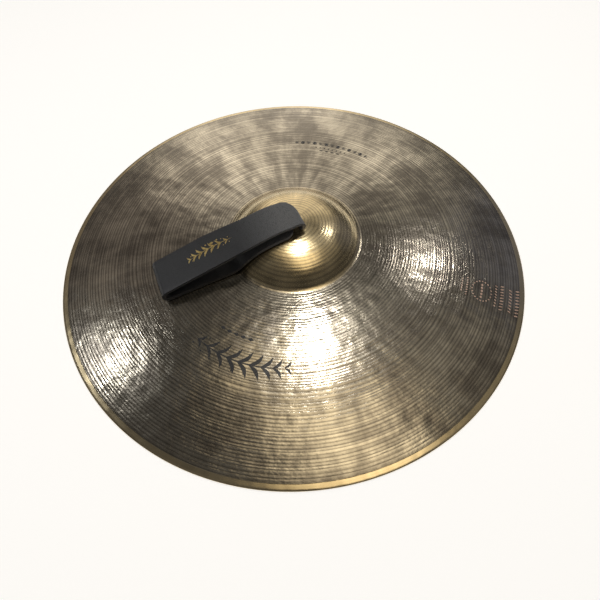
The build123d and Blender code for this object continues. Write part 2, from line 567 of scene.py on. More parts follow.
WORN_INK = MarkFinish("worn_ink", (0.016, 0.018, 0.026), (0.07, 0.065, 0.06), 0.0, 0.36, cover=0.96)
BRIGHT_STAMP = MarkFinish("bright_stamp", (0.86, 0.62, 0.50), (0.62, 0.42, 0.33), 0.55, 0.42)
GOLD_FOIL = MarkFinish("gold_foil", (0.86, 0.66, 0.27), (0.52, 0.38, 0.15), 0.9, 0.32)


@dataclass(frozen=True)
class WaxedLeather:
    """Black leather with a fine grain, worn a little grey on its edges, with a painted sheen: lighter grey
    towards the hole, where it bends.
    """

    colour: Colour = (0.030, 0.032, 0.037)
    worn: Colour = (0.085, 0.085, 0.09)
    # painted sheen colour, laid on towards the hole where the band bends
    painted_sheen: Colour = (0.15, 0.157, 0.17)
    pore: Colour = (0.012, 0.012, 0.013)
    grain_scale: float = 820.0
    grain_depth: float = 0.045 * MM
    cloud_scale: float = 60.0
    scuff_scale: float = 210.0
    crease_scale: float = 420.0
    crease_depth: float = 0.18 * MM
    roughness: float = 0.38
    crease_at: float = -0.052
    sheen_start: float = -0.062
    sheen_end: float = -0.016
    name: str = "waxed_leather"

    def build(self) -> bpy.types.Material:
        """The material, in metres on Object coordinates."""
        material, desk, shader = new_material(self.name)
        place = desk.add("ShaderNodeTexCoord").outputs["Object"]
        grain = GRAIN.place(desk, Vector=place, Scale=self.grain_scale, Depth=self.grain_depth)
        clouds = desk.noise(place, self.cloud_scale, detail=4.0, rough=0.6)
        scuffs = desk.ramp(0.58, 0.78, desk.noise(place, self.scuff_scale, detail=5.0, rough=0.7))
        edges = desk.add("ShaderNodeNewGeometry").outputs["Pointiness"]
        rubbed = desk.ramp(0.52, 0.60, edges)
        worn = desk.math("MAXIMUM", desk.math("MULTIPLY", scuffs, 0.25), desk.math("MULTIPLY", rubbed, 0.5))
        base = desk.mix(clouds, (*self.colour, 1.0), tuple(1.35 * c for c in self.colour) + (1.0,))
        base = desk.mix(worn, base, (*self.worn, 1.0))
        split = desk.add("ShaderNodeSeparateXYZ")
        desk.feed(split, 0, place)
        # painted sheen: the base colour turns lighter grey along X towards the hole, where the band bends
        sheen_share = desk.ramp(self.sheen_start, self.sheen_end, split.outputs[0], 0.0, 0.8)
        base = desk.mix(sheen_share, base, (*self.painted_sheen, 1.0))
        base = desk.mix(desk.math("MULTIPLY", grain.outputs["Pores"], 0.5), base, (*self.pore, 1.0))
        desk.feed(shader, "Base Color", base)
        rough = desk.math("MULTIPLY_ADD", clouds, 0.16, self.roughness - 0.08)
        desk.feed(shader, "Roughness", desk.math("MULTIPLY_ADD", worn, 0.12, rough))
        desk.feed(shader, "Specular IOR Level", 0.45)
        along = desk.math("MULTIPLY_ADD", split.outputs[1], 0.22, split.outputs[0])
        wavy = desk.math("ADD", along, desk.math("MULTIPLY", clouds, 0.004))
        lines = desk.noise(wavy, self.crease_scale, detail=2.0, rough=0.5, dimensions="1D")
        near = desk.math("ABSOLUTE", desk.math("SUBTRACT", split.outputs[0], self.crease_at))
        creases = desk.math("MULTIPLY", desk.ramp(0.004, 0.012, near, 1.0, 0.0), lines)
        height = desk.math("MULTIPLY_ADD", creases, self.crease_depth, grain.outputs["Height"])
        desk.feed(shader, "Normal", desk.bump(height, strength=0.8))
        return material


@dataclass(frozen=True)
class PaleFloor:
    """Plain matt floor."""

    colour: Colour = (0.86, 0.86, 0.86)
    glow: float = 0.53
    name: str = "pale_floor"

    def build(self) -> bpy.types.Material:
        """The material."""
        material, desk, shader = new_material(self.name)
        desk.feed(shader, "Base Color", (*self.colour, 1.0))
        desk.feed(shader, "Roughness", 0.9)
        desk.feed(shader, "Specular IOR Level", 0.1)
        desk.feed(shader, "Emission Color", (1.0, 1.0, 1.0, 1.0))
        desk.feed(shader, "Emission Strength", self.glow)
        return material


# ------------------------------------------------------------------ plate
@dataclass
class PlateProfile:
    """The plate's section, built from the same few sizes as the CAD model."""

    radius: float
    hole: float = 6.5 * MM
    bell: float = 63.0 * MM
    crown: float = 34.0 * MM
    crown_sphere: float = 125.0 * MM
    root: float = 9.0 * MM
    bow_height: float = 24.0 * MM
    bell_height: float = 23.0 * MM
    rim_thickness: float = 0.95 * MM
    root_thickness: float = 1.35 * MM
    bell_thickness: float = 1.8 * MM
    land: float = 2.5 * MM

    def __post_init__(self) -> None:
        """Work out the arcs that make up the section."""
        root_top = self.rim_thickness + self.bow_height
        crown_top = root_top + self.bell_height
        self.crown_centre = crown_top - self.crown_sphere
        rise = self.rim_thickness - root_top
        self.bow_centre = (self.rim_thickness**2 + self.radius**2 - root_top**2 - self.bell**2) / (2 * rise)
        self.bow_sphere = hypot(self.bell, root_top - self.bow_centre)
        start = Vector((self.crown, self.on_sphere(self.crown_centre, self.crown_sphere, self.crown)))
        normal = (start - Vector((0, self.crown_centre))).normalized()
        chord = Vector((self.bell, root_top)) - start
        self.shoulder_sphere = chord.length_squared / (-2 * chord.dot(normal))
        self.shoulder_centre = start - normal * self.shoulder_sphere
        # the hollow root touches the shoulder and the bow from above
        to_bow = Vector((0, self.bow_centre)) - self.shoulder_centre
        span = to_bow.length
        near = self.shoulder_sphere + self.root
        far = self.bow_sphere + self.root
        along = (near**2 - far**2 + span**2) / (2 * span)
        side = sqrt(near**2 - along**2)
        unit = to_bow / span
        self.root_centre = self.shoulder_centre + unit * along + Vector((-unit.y, unit.x)) * side
        to_root = self.root_centre - self.shoulder_centre
        self.root_start = self.shoulder_centre.x + to_root.x * self.shoulder_sphere / near
        self.root_end = self.root_centre.x * self.bow_sphere / far

    @staticmethod
    def on_sphere(centre: float, size: float, radius: float) -> float:
        """Height of a sphere centred on the axis, at a distance from the axis."""
        return centre + sqrt(max(size**2 - radius**2, 0.0))

    def top(self, radius: float) -> float:
        """Height of the struck side at a distance from the axis."""
        if radius <= self.crown:
            return self.on_sphere(self.crown_centre, self.crown_sphere, radius)
        if radius <= self.root_start:
            gap = radius - self.shoulder_centre.x
            return self.shoulder_centre.y + sqrt(max(self.shoulder_sphere**2 - gap**2, 0.0))
        if radius <= self.root_end:
            gap = radius - self.root_centre.x
            return self.root_centre.y - sqrt(max(self.root**2 - gap**2, 0.0))
        return self.on_sphere(self.bow_centre, self.bow_sphere, min(radius, self.radius))

    def normal(self, radius: float) -> Vector:
        """Unit normal of the struck side, as radial and upward parts."""
        step = 0.2 * MM
        low, high = max(radius - step, 0.0), min(radius + step, self.radius)
        slope = (self.top(high) - self.top(low)) / (high - low)
        return Vector((-slope, 1.0)).normalized()

    def thickness(self, radius: float) -> float:
        """Thickness of the metal at a distance from the axis."""
        sizes = (self.bell_thickness, self.bell_thickness, self.root_thickness, self.rim_thickness)
        return float(np.interp(radius, (0.0, self.crown, self.root_end, self.radius), sizes))

    def underside(self, radius: float) -> Vector:
        """Point of the underside below a point of the struck side."""
        offset = self.normal(radius) * self.thickness(radius)
        return Vector((radius - offset.x, max(self.top(radius) - offset.y, 0.0)))


@dataclass
class HammerMarks:
    """Shallow dimples in rings, as a hammer leaves them, moved out of line a little."""

    first: float = 0.070
    last: float = 0.221
    row_step: float = 10.5 * MM
    mark_step: float = 13.0 * MM
    size: float = 6.5 * MM
    depth: float = 0.16 * MM
    wave_depth: float = 0.1 * MM
    flat_from: float = 0.2275
    rim: float = 0.2286
    seed: int = 7

    def depth_at(self, radius: np.ndarray, angle: np.ndarray) -> np.ndarray:
        """How far the surface is beaten in.

        Args:
            radius: Distances from the axis.
            angle: Angles round the axis, in radians.

        Returns:
            Depths in metres, one for each point.
        """
        dice = np.random.default_rng(self.seed)
        beaten = np.zeros_like(radius)
        for row in np.arange(self.first, self.last, self.row_step):
            count = int(round(2 * pi * row / self.mark_step))
            shift = dice.uniform(0, 1)
            radial = dice.normal(0, 0.16 * self.row_step, count)
            turn = dice.normal(0, 0.15, count)
            force = dice.uniform(0.35, 1.25, count)
            turns = (angle / (2 * pi)) * count + shift
            for step in (-1, 0, 1):
                index = np.floor(turns).astype(int) + step
                mark = np.mod(index, count)
                along = (turns - index - 0.5 - turn[mark]) * self.mark_step * (radius / row)
                across = radius - row - radial[mark]
                far = (along**2 + across**2) / self.size**2
                beaten += force[mark] * self.depth * np.exp(-2.2 * far)
        rise = smoothstep(self.first - 0.004, self.first + 0.008, radius)
        fall = 1 - smoothstep(self.last, self.flat_from, radius)
        waves = np.sin(3 * angle + 0.7)
        waves = waves + 0.6 * np.sin(5 * angle - 38 * radius)
        waves = waves + 0.5 * np.sin(9 * angle + 60 * radius)
        return (beaten + self.wave_depth * waves * (radius / self.rim)) * rise * fall


@dataclass
class CymbalPlate:
    """The bronze plate, spun from its section and hammered."""

    profile: PlateProfile
    marks: HammerMarks = field(default_factory=HammerMarks)
    steps: int = 384
    ring_step: float = 1.55 * MM
    under_step: float = 4.6 * MM
    hole_round: float = 0.4 * MM
    name: str = "bronze_plate"

    def section(self) -> list[Vector]:
        """Points of the closed section, from the hole out over the top and back underneath."""
        shape = self.profile
        start = shape.hole + self.hole_round
        reach = shape.radius - 0.5 * MM
        count = round((reach - start) / self.ring_step)
        radii = [start + (reach - start) * i / count for i in range(count + 1)]
        points = [Vector((r, shape.top(r))) for r in radii]
        rim = shape.rim_thickness
        rim_corners = ((0.2 * MM, rim - 0.05 * MM), (0.02 * MM, rim * 0.72), (0.0, rim * 0.45),
                       (0.08 * MM, 0.1 * MM), (0.35 * MM, 0.0), (shape.land, 0.0))
        points += [Vector((shape.radius - inset, height)) for inset, height in rim_corners]
        inner = shape.radius - shape.land
        count = round((inner - shape.hole) / self.under_step)
        points += [shape.underside(inner + (start - inner) * i / count) for i in range(1, count)]
        top = shape.top(shape.hole)
        bottom = top - shape.bell_thickness
        hole_corners = ((0.12 * MM, bottom + 0.04 * MM), (0.0, bottom + self.hole_round),
                        (0.0, top - self.hole_round), (0.12 * MM, top - 0.1 * MM))
        return points + [Vector((shape.hole + inset, height)) for inset, height in hole_corners]

    def build(self, material: bpy.types.Material) -> bpy.types.Object:
        """Extrude the section from one point, spin it and hammer it.

        Args:
            material: Finish of the whole plate.

        Returns:
            The plate.
        """
        points = self.section()
        deselect_all()
        bpy.ops.mesh.primitive_plane_add(size=0.001)
        plate = bpy.context.object
        plate.name = self.name
        bpy.ops.object.mode_set(mode="EDIT")
        bpy.ops.mesh.select_all(action="SELECT")
        bpy.ops.mesh.merge(type="CENTER")
        bpy.ops.transform.translate(value=(points[0].x, 0, points[0].y))
        for before, after in zip(points, points[1:]):
            step = (after.x - before.x, 0, after.y - before.y)
            bpy.ops.mesh.extrude_region_move(TRANSFORM_OT_translate={"value": step})
        bpy.ops.mesh.select_all(action="SELECT")
        bpy.ops.mesh.edge_face_add()
        bpy.ops.mesh.delete(type="ONLY_FACE")
        bpy.ops.mesh.select_all(action="SELECT")
        bpy.ops.mesh.spin(steps=self.steps, angle=2 * pi, center=(0, 0, 0), axis=(0, 0, 1))
        bpy.ops.object.mode_set(mode="OBJECT")
        close_mesh(plate, 0.02 * MM)
        self.hammer(plate)
        smooth(plate, 40)
        dress(plate, material)
        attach(plate, Body.CYMBAL.value)
        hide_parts("cymbal_plate")
        return plate

    def on_top(self, radius: float, angle: float, lift: float) -> Vector:
        """Point above the hammered surface of the struck side.

        Args:
            radius: Distance from the axis.
            angle: Angle round it, in radians.
            lift: Height above the metal.

        Returns:
            The point.
        """
        beaten = float(self.marks.depth_at(np.array([radius]), np.array([angle]))[0])
        return Vector((radius * cos(angle), radius * sin(angle), self.profile.top(radius) - beaten + lift))

    def hammer(self, plate: bpy.types.Object) -> None:
        """Beat the marks into both sides, keeping the metal's thickness and the flat rim."""
        points = read_points(plate)
        radius = np.hypot(points[:, 0], points[:, 1])
        angle = np.arctan2(points[:, 1], points[:, 0])
        points[:, 2] -= self.marks.depth_at(radius, angle)
        points[:, 2] = np.maximum(points[:, 2], 0.0)
        write_points(plate, points)


# ------------------------------------------------------------------ leather
def smooth_line(points: Sequence[Vector], step: float) -> list[Vector]:
    """Even points along a smooth curve through a few points.

    Args:
        points: Points that the curve passes through.
        step: Distance between the points that are returned.

    Returns:
        Points along a Catmull-Rom curve, the first and the last as given.
    """
    ends = [points[0] * 2 - points[1], *points, points[-1] * 2 - points[-2]]
    dense = []
    for a, b, c, d in zip(ends, ends[1:], ends[2:], ends[3:]):
        for i in range(24):
            t = i / 24
            dense.append(0.5 * (2 * b + (c - a) * t + (2 * a - 5 * b + 4 * c - d) * t**2
                                + (3 * b - a - 3 * c + d) * t**3))
    dense.append(points[-1])
    gaps = [0.0] + [(after - before).length for before, after in zip(dense, dense[1:])]
    along = np.cumsum(gaps)
    count = max(round(along[-1] / step), 2)
    wanted = np.linspace(0, along[-1], count + 1)
    table = np.array(dense)
    return [Vector([np.interp(w, along, table[:, axis]) for axis in range(3)]) for w in wanted]


@dataclass
class LeatherStrip:
    """A strip of leather that follows a line, with its width across the line."""

    name: str
    line: list[Vector]
    near: Sequence[float]
    far: Sequence[float]
    thickness: float
    columns: int = 10
    bevel: float = 0.55 * MM
    across: Vector = field(default_factory=lambda: Vector((0, 1, 0)))

    def place(self, along: float, across: float, lift: float = 0.0) -> Vector:
        """Point of the strip's middle surface.

        Args:
            along: Share of the line's length, from 0 to 1.
            across: From 0 at the near edge to 1 at the far edge.
            lift: Distance above the middle surface, to the left of the line.

        Returns:
            The point.
        """
        spot = along * (len(self.line) - 1)
        index = min(int(spot), len(self.line) - 2)
        here = self.line[index].lerp(self.line[index + 1], spot - index)
        before = self.line[max(index - 1, 0)]
        after = self.line[min(index + 2, len(self.line) - 1)]
        run = (after - before).normalized()
        normal = run.cross(self.across).normalized()
        side = normal.cross(run).normalized()
        knots = np.linspace(0, 1, len(self.near))
        low = -float(np.interp(along, knots, self.near))
        high = float(np.interp(along, knots, self.far))
        return here + side * (low + (high - low) * across) + normal * lift

    def build(self, material: bpy.types.Material) -> bpy.types.Object:
        """Bend a flat grid along the line, then give it thickness and rounded edges.

        Args:
            material: The leather.

        Returns:
            The finished strip.
        """
        rows = len(self.line)
        deselect_all()
        bpy.ops.mesh.primitive_grid_add(x_subdivisions=rows - 1, y_subdivisions=self.columns, size=1)
        strip = bpy.context.object
        strip.name = self.name
        flat = read_points(strip)
        bent = np.array([self.place(x + 0.5, y + 0.5) for x, y, _ in flat])
        write_points(strip, bent)
        apply_modifier(strip, "SOLIDIFY", thickness=self.thickness, offset=0.0, use_even_offset=False)
        close_mesh(strip, 0.005 * MM)
        apply_modifier(strip, "BEVEL", width=self.bevel, segments=3, limit_method="ANGLE",
                       angle_limit=radians(50))
        smooth(strip, 60)
        dress(strip, material)
        return strip


@dataclass
class HandStrap:
    """The wide band: up out of the hole, over to the end fold and back along the plate."""

    profile: PlateProfile
    fold_height: float
    thickness: float = 3.0 * MM
    half_width: float = 18.6 * MM
    half_neck: float = 4.3 * MM
    gap: float = 0.45 * MM
    reach: float = 128.0 * MM
    fold_radius: float = 5.2 * MM
    upper_slope: float = 15.5
    crest_height: float = 5.7 * MM
    crest_length: float = 11.0 * MM
    heel_radius: float = 26.0 * MM
    step: float = 1.5 * MM
    strip: LeatherStrip = field(init=False)

    def fold_centre(self) -> tuple[Vector, float]:
        """Centre of the end fold, and the plate's slope under it in radians."""
        normal = self.profile.normal(self.reach)
        lift = self.gap + self.thickness / 2 + self.fold_radius
        centre = Vector((-self.reach - normal.x * lift, 0, self.profile.top(self.reach) + normal.y * lift))
        return centre, asin(normal.x)

    def upper_line(self) -> list[Vector]:
        """Middle of the upper layer, from inside the hole to the end fold."""
        neck = ((2.3, -11.4), (2.35, -8.6), (3.0, -5.6), (3.9, -2.4), (3.5, 1.2), (1.0, 4.2), (-3.6, 5.5))
        points = [Vector((x * MM, 0, self.fold_height + z * MM)) for x, z in neck]
        centre, _ = self.fold_centre()
        slope = radians(self.upper_slope)
        leaving = centre + Vector((-sin(slope), 0, cos(slope))) * self.fold_radius
        level = self.fold_height + self.crest_height
        crest = leaving + Vector((cos(slope), 0, sin(slope))) * ((level - leaving.z) / sin(slope))
        run = crest.x - leaving.x
        points.append(crest + Vector((self.crest_length, 0, 0)))
        points.append(crest - Vector((0, 0, self.crest_length * sin(slope) / 4)))
        for share in np.linspace(self.crest_length / run, 1, 8):
            points.append(crest.lerp(leaving, share))
        return points

    def lower_line(self) -> list[Vector]:
        """Middle of the lower layer, from the end fold to inside the hole."""
        heel = PlateProfile(radius=self.profile.radius, root=self.heel_radius)
        lift = self.gap + self.thickness / 2
        points = []
        for radius in np.linspace(self.reach, 14 * MM, 24):
            offset = heel.normal(radius) * lift
            points.append(Vector((-radius - offset.x, 0, heel.top(radius) + offset.y)))
        top = self.profile.top(self.profile.hole)
        neck = ((-8.0, 2.2), (-4.4, 2.0), (-2.7, 0.2), (-2.3, -2.4), (-2.3, -3.6))
        return points + [Vector((x * MM, 0, top + z * MM)) for x, z in neck]

    def end_fold(self) -> list[Vector]:
        """Points round the end fold, between the upper layer and the lower."""
        centre, slope = self.fold_centre()
        first, last = radians(90 + self.upper_slope), radians(270) + slope
        turns = np.linspace(first, last, 9)[1:-1]
        return [centre + Vector((cos(turn), 0, sin(turn))) * self.fold_radius for turn in turns]

    def along_at(self, distance: float) -> float:
        """Share of the strip's line that lies at a distance from the hole, on the upper layer."""
        line = self.strip.line
        index = next(i for i, point in enumerate(line) if -point.x >= distance)
        part = (distance + line[index - 1].x) / (line[index - 1].x - line[index].x)
        return (index - 1 + part) / (len(line) - 1)

    def on_top(self, distance: float, across: float, lift: float) -> Vector:
        """Point above the upper layer.

        Args:
            distance: From the hole's axis, along the strap.
            across: From the middle of the band, towards its far edge.
            lift: Height above the leather.

        Returns:
            The point.
        """
        along = self.along_at(distance)
        knots = np.linspace(0, 1, len(self.strip.near))
        near = float(np.interp(along, knots, self.strip.near))
        far = float(np.interp(along, knots, self.strip.far))
        return self.strip.place(along, (across + near) / (near + far), -self.thickness / 2 - lift)

    def build(self, material: bpy.types.Material) -> bpy.types.Object:
        """Make the band as one strip that runs across the fold over the hole.

        Args:
            material: The leather.

        Returns:
            The band.
        """
        line = smooth_line(self.upper_line() + self.end_fold() + self.lower_line(), self.step)
        wide, neck = self.half_width, self.half_neck
        length = (len(line) - 1) * self.step
        along = np.linspace(0, length, len(line))
        near_ends = ((0, neck), (2.6 * MM, neck), (4 * MM, 11 * MM), (5 * MM, 14.5 * MM),
                     (14 * MM, 16.8 * MM), (19 * MM, 17.5 * MM), (26 * MM, wide), (length - 15 * MM, wide),
                     (length - 9.5 * MM, 16 * MM), (length - 7 * MM, 11 * MM), (length - 5.4 * MM, neck),
                     (length, neck))
        far_ends = ((0, neck), (7 * MM, neck), (10 * MM, 1 * MM), (13.5 * MM, 1.5 * MM), (17 * MM, 6.5 * MM),
                    (21 * MM, 11 * MM), (25 * MM, 12.6 * MM), (38 * MM, 13.4 * MM), (66 * MM, 14.8 * MM),
                    (88 * MM, 17.2 * MM), (104 * MM, wide), (length - 17 * MM, wide),
                    (length - 9 * MM, 8 * MM), (length - 5 * MM, neck), (length, neck))
        near = np.interp(along, *zip(*near_ends))
        far = np.interp(along, *zip(*far_ends))
        self.strip = LeatherStrip("hand_strap", line, near, far, self.thickness, columns=12)
        band = self.strip.build(material)
        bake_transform(band)
        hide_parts("handle_band", "neck_fold")
        return band


@dataclass
class CrownKnot:
    """Four thongs tied in a crown knot inside the bell, with loose tails."""

    top: float
    width: float = 7.4 * MM
    thickness: float = 2.4 * MM
    gathered: float = 4.1 * MM
    bevel: float = 0.45 * MM
    step: float = 0.9 * MM
    cut: float = 0.72
    tails: Sequence[tuple[str, float, float]] = (("front", 1.0, 1.5), ("right", 0.93, -2.0),
                                                 ("back", 0.97, 2.5), ("left", 0.9, -1.0))

    def line(self, bend: float, sway: float) -> list[Vector]:
        """Middle of the first thong.

        Args:
            bend: How far the tail droops, about 1.
            sway: How far the tail swings to its side, in millimetres.

        Returns:
            Points from inside the hole to the tail's end.
        """
        points = ((2.3, 2.3, 0.6), (2.3, 2.5, -1.6), (3.4, 4.0, -3.4), (7.0, 5.8, -3.7), (12.0, 6.0, -3.7),
                  (14.3, 6.0, -5.1), (12.3, 6.0, -6.5), (7.0, 6.0, -6.5), (2.2, 6.0, -6.7), (-2.2, 6.0, -9.1),
                  (-7.0, 6.0, -9.4), (-12.0, 6.0, -9.6))
        tail = ((-19.0, 0.15, -1.2), (-27.0, 0.4, -4.6), (-35.0, 0.7, -9.6), (-42.0, 0.9, -15.4),
                (-47.5, 1.0, -20.6))
        _, side, level = points[-1]
        points += tuple((x, side + sway * share, level + drop * bend) for x, share, drop in tail)
        return [Vector((x * MM, y * MM, self.top + z * MM)) for x, y, z in points]

    def build(self, material: bpy.types.Material) -> list[bpy.types.Object]:
        """Make one thong for each quarter of the hole.

        Args:
            material: The leather.

        Returns:
            The four thongs.
        """
        thongs = []
        for index, (name, bend, sway) in enumerate(self.tails):
            line = smooth_line(self.line(bend, sway), self.step)
            share = np.linspace(0, 1, len(line))
            widths = (self.gathered, self.gathered, self.width, self.width, self.width * self.cut)
            half = np.interp(share, (0, 0.03, 0.09, 0.94, 1.0), widths) / 2
            strip = LeatherStrip(f"thong_{name}_leather", line, half, half, self.thickness, columns=4,
                                 bevel=self.bevel)
            thong = strip.build(material)
            write_points(thong, self.quarter_turns(read_points(thong), index))
            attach(thong, Body.KNOT.value)
            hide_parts(f"thong_{name}")
            thongs.append(thong)
        return thongs

    @staticmethod
    def quarter_turns(points: np.ndarray, count: int) -> np.ndarray:
        """Points turned about the axis by a number of quarter turns."""
        turned = points
        for _ in range(count):
            turned = np.column_stack((-turned[:, 1], turned[:, 0], turned[:, 2]))
        return turned


# ------------------------------------------------------------------ marks
@dataclass(frozen=True)
class Leaf:
    """One flat shape between two points, widest in its middle."""

    start: Point
    end: Point
    width: float
    bend: float = 0.0
    fullness: float = 1.0
    rows: int = 10

    def outline_at(self, along: float, across: float) -> Point:
        """Point of the shape, along it from 0 to 1 and across it from -0.5 to 0.5."""
        run = Vector(self.end) - Vector(self.start)
        side = Vector((-run.y, run.x)).normalized()
        half = self.width * sin(pi * min(max(along, 0.0), 1.0)) ** self.fullness
        spot = Vector(self.start) + run * along + side * (self.bend * 4 * along * (1 - along) + half * across)
        return spot.x, spot.y


def dot(centre: Point, size: float) -> Leaf:
    """A round dot."""
    left, right = centre[0] - size / 2, centre[0] + size / 2
    return Leaf((left, centre[1]), (right, centre[1]), size, fullness=0.5, rows=8)


def lozenge(centre: Point, length: float, width: float) -> Leaf:
    """A diamond that lies along the row."""
    left, right = centre[0] - length / 2, centre[0] + length / 2
    return Leaf((left, centre[1]), (right, centre[1]), width, fullness=1.3, rows=6)


def branch(length: float, pairs: int, leaf: float, width: float, sag: float = 0.0) -> list[Leaf]:
    """A branch with pairs of leaves that grow towards its middle.

    Args:
        length: From tip to tip.
        pairs: Number of pairs of leaves.
        leaf: Length of the longest leaf.
        width: Width of the widest leaf.
        sag: How far the middle of the branch is off the line between its tips.

    Returns:
        The stem and its leaves.
    """
    shapes = [Leaf((-length / 2, 0), (length / 2, 0), width * 0.35, bend=sag, fullness=0.6, rows=28)]
    for index in range(pairs):
        share = (index + 0.6) / pairs
        foot = ((share - 0.5) * length, sag * 4 * share * (1 - share))
        size = leaf * (0.45 + 0.55 * sin(pi * share))
        for side in (-1, 1):
            tip = (foot[0] + size * 0.70, foot[1] + side * size * 0.72)
            shapes.append(Leaf(foot, tip, width * (0.55 + 0.45 * sin(pi * share)), bend=-side * size * 0.17))
            shapes.append(dot((foot[0] - size * 0.05, foot[1] + side * size * 0.52), width * 0.42))
    return shapes


@dataclass
class Marking:
    """A set of flat shapes that follow a surface, thin as ink, a foil or a stamp."""

    name: str
    shapes: Sequence[Leaf]
    surface: Callable[[float, float, float], Vector]
    body: Body
    slot: Slot
    lift: float = 0.05 * MM
    thickness: float = 0.04 * MM

    def build(self, material: bpy.types.Material) -> bpy.types.Object:
        """Lay each shape on the surface and join them.

        Args:
            material: The marking's finish.

        Returns:
            The marking.
        """
        laid = []
        for shape in self.shapes:
            deselect_all()
            bpy.ops.mesh.primitive_grid_add(x_subdivisions=shape.rows, y_subdivisions=2, size=1)
            leaf = bpy.context.object
            flat = read_points(leaf)
            spots = [shape.outline_at(x + 0.5, y) for x, y, _ in flat]
            write_points(leaf, np.array([self.surface(x, y, self.lift) for x, y in spots]))
            laid.append(leaf)
        deselect_all()
        for leaf in laid:
            leaf.select_set(True)
        bpy.context.view_layer.objects.active = laid[0]
        bpy.ops.object.join()
        marking = bpy.context.object
        marking.name = self.name
        close_mesh(marking, 0.01 * MM)
        self.face_up(marking)
        apply_modifier(marking, "SOLIDIFY", thickness=self.thickness, offset=1.0)
        smooth(marking, 40)
        dress(marking, material)
        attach(marking, self.body.value)
        return marking

    @staticmethod
    def face_up(marking: bpy.types.Object) -> None:
        """Turn faces that look down, so that the thickness grows away from the surface."""
        make_active(marking)
        bpy.ops.object.mode_set(mode="EDIT")
        bpy.ops.mesh.select_all(action="DESELECT")
        bpy.ops.object.mode_set(mode="OBJECT")
        for face in marking.data.polygons:
            face.select = face.normal.z < 0
        bpy.ops.object.mode_set(mode="EDIT")
        bpy.ops.mesh.flip_normals()
        bpy.ops.object.mode_set(mode="OBJECT")


# Rows of strokes in the rim stamp: place along the radius in mm, number of strokes, and their height in mm.
STROKE_ROWS = ((26.0, 9, 4.6), (19.0, 8, 3.4), (10.5, 9, 4.2),
               (4.5, 8, 2.2), (-24.0, 8, 1.8), (-29.0, 6, 1.6))


@dataclass
class PlateMarks:
    """Plain ornaments on the plate: a printed branch and rows of lozenges, and a stamp near the rim."""

    plate: CymbalPlate
    branch_radius: float = 134.0 * MM
    branch_angle: float = -134.5
    row_radius: float = 142.0 * MM
    row_angle: float = 49.8
    stamp_radius: float = 195.0 * MM
    stamp_angle: float = -40.5

    def patch(self, radius: float, angle: float, turn: int = 1) -> Callable[[float, float, float], Vector]:
        """A flat patch laid on the plate, its first direction round the axis and its second along a radius.

        Args:
            radius: Distance of its middle from the axis.
            angle: Angle of its middle round the axis, in degrees.
            turn: 1 where up is outward, -1 where up is towards the bell.

        Returns:
            A function of the place along, the place across and the lift.
        """
        def surface(along: float, across: float, lift: float) -> Vector:
            """Point of the patch on the plate."""
            return self.plate.on_top(radius + turn * across, radians(angle) - turn * along / radius, lift)
        return surface

    def front_branch(self) -> Marking:
        """Large printed branch on the bow, with a row of lozenges above it."""
        shapes = branch(92 * MM, 9, 17 * MM, 3.6 * MM, sag=-2.5 * MM)
        for index in range(5):
            shapes.append(lozenge(((index * 8 - 26) * MM, 19 * MM), 6.2 * MM, 3.0 * MM))
        surface = self.patch(self.branch_radius, self.branch_angle, turn=-1)
        return Marking("printed_branch", shapes, surface, Body.CYMBAL, Slot.BRONZE)

    def back_row(self) -> Marking:
        """Small printed rows on the far side of the bow."""
        shapes = []
        for index in range(13):
            centre = (index - 6) * 6.8 * MM
            shapes.append(lozenge((centre, 0), 5.4 * MM, (4.4 if index % 2 else 2.4) * MM))
            shapes.append(Leaf((centre - 2.6 * MM, 2.6 * MM), (centre + 2.6 * MM, 2.6 * MM), 0.8 * MM,
                               fullness=0.3, rows=4))
        for index in range(8):
            shapes.append(dot(((index - 3.5) * 5 * MM, -7.5 * MM), 1.7 * MM))
        for index in range(4):
            shapes.append(lozenge(((index - 1.5) * 7 * MM, -12.5 * MM), 5.0 * MM, 1.7 * MM))
        surface = self.patch(self.row_radius, self.row_angle)
        return Marking("printed_rows", shapes, surface, Body.CYMBAL, Slot.BRONZE)

    def rim_stamp(self) -> Marking:
        """Bright stamp near the rim: a ring of dots between rows of short strokes."""
        shapes = []
        for row, (place, count, height) in enumerate(STROKE_ROWS):
            for index in range(count):
                centre = (index - (count - 1) / 2) * 3.1 * MM
                slant = (0.7 if row % 2 else -0.5) * MM
                foot = (centre - slant, (place - height / 2) * MM)
                head = (centre + slant, (place + height / 2) * MM)
                shapes.append(Leaf(foot, head, 1.15 * MM, fullness=0.45, rows=4))
        ring_middle, dots = -9.5, 20
        for index in range(dots):
            turn = 2 * pi * index / dots
            shapes.append(dot((11.5 * MM * cos(turn), (ring_middle + 9.5 * sin(turn)) * MM), 1.5 * MM))
        for index in range(5):
            shapes.append(lozenge(((index - 2) * 3.6 * MM, ring_middle * MM), 3.0 * MM, 2.4 * MM))
        surface = self.patch(self.stamp_radius, self.stamp_angle)
        return Marking("rim_stamp", shapes, surface, Body.CYMBAL, Slot.BRONZE)

    def build(self) -> list[bpy.types.Object]:
        """Make the three markings."""
        ink = WORN_INK.build()
        bright = BRIGHT_STAMP.build()
        return [self.front_branch().build(ink), self.back_row().build(ink), self.rim_stamp().build(bright)]


